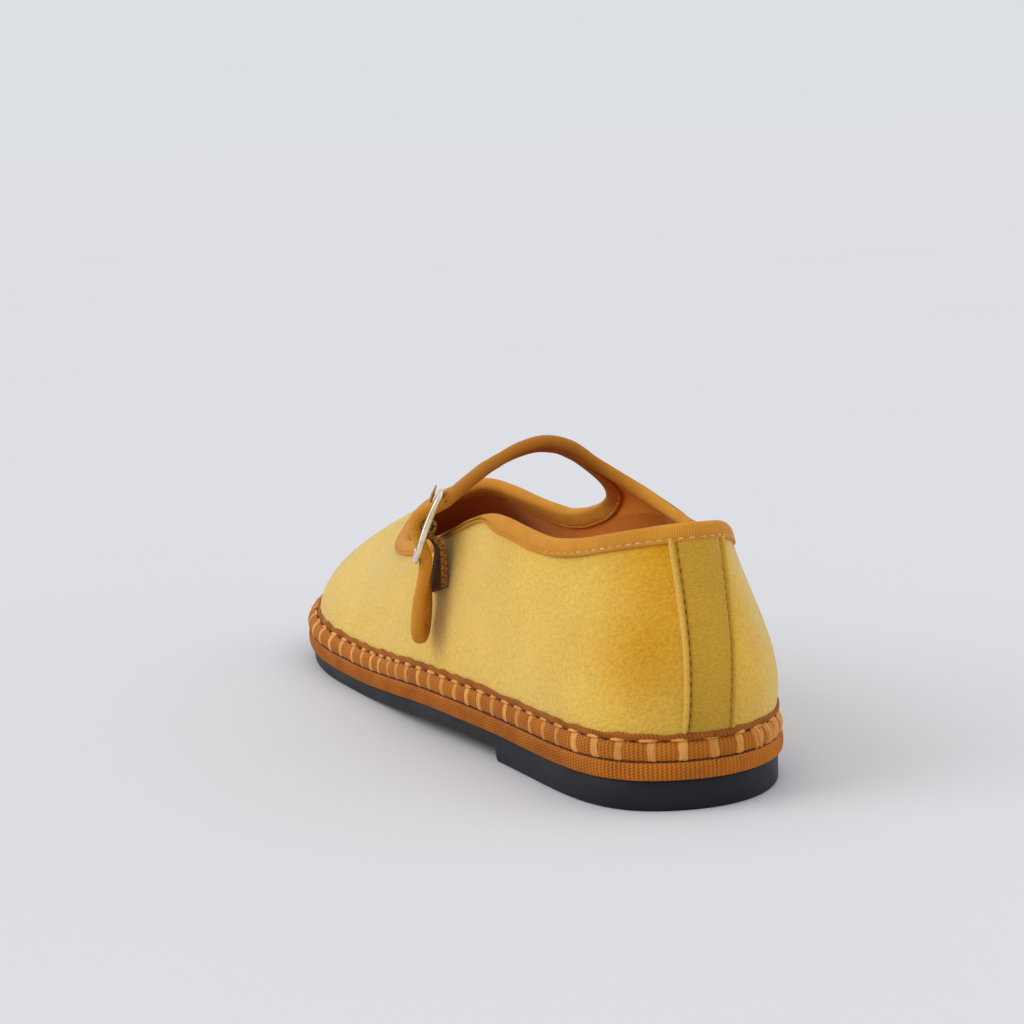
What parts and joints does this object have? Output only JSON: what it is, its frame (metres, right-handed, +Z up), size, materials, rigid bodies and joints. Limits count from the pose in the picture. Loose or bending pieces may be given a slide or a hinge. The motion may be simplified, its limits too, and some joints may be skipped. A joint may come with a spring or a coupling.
{
  "type": "mary jane shoe",
  "caption": "Flat women's velvet mary jane shoe, left foot, with one buckled instep strap, a wrapped whip-stitched welt and a low rubber sole.",
  "frame": {"origin": "on the floor, under the middle of the outsole's length and width", "axes": "+Z up, -Y towards the toe, +X towards the outer side, where the buckle is"},
  "size_m": [0.0826, 0.2527, 0.0773],
  "materials": {
    "rubber": "matt, fine grain",
    "ribbed_band": "ribbed ochre tape",
    "welt_tape": "ribbed ochre tape with whip stitches",
    "sock": "soft brown suede",
    "velvet": "golden yellow short-pile velvet",
    "backstay_velvet": "darker ochre short-pile velvet",
    "binding_tape": "ribbed ochre tape, folded",
    "buckle_metal": "pale silver, lightly brushed",
    "tab_nap": "dark brown napped tape"
  },
  "bodies": {
    "root": {"outsole": "rubber", "midsole": "ribbed_band", "welt": "welt_tape", "insole": "sock", "upper": "velvet", "backstay": "backstay_velvet", "strap": "velvet", "collar_binding": "binding_tape", "buckle_frame": "buckle_metal", "buckle_prong": "buckle_metal", "buckle_tab": "tab_nap"}
  },
  "joints": []
}
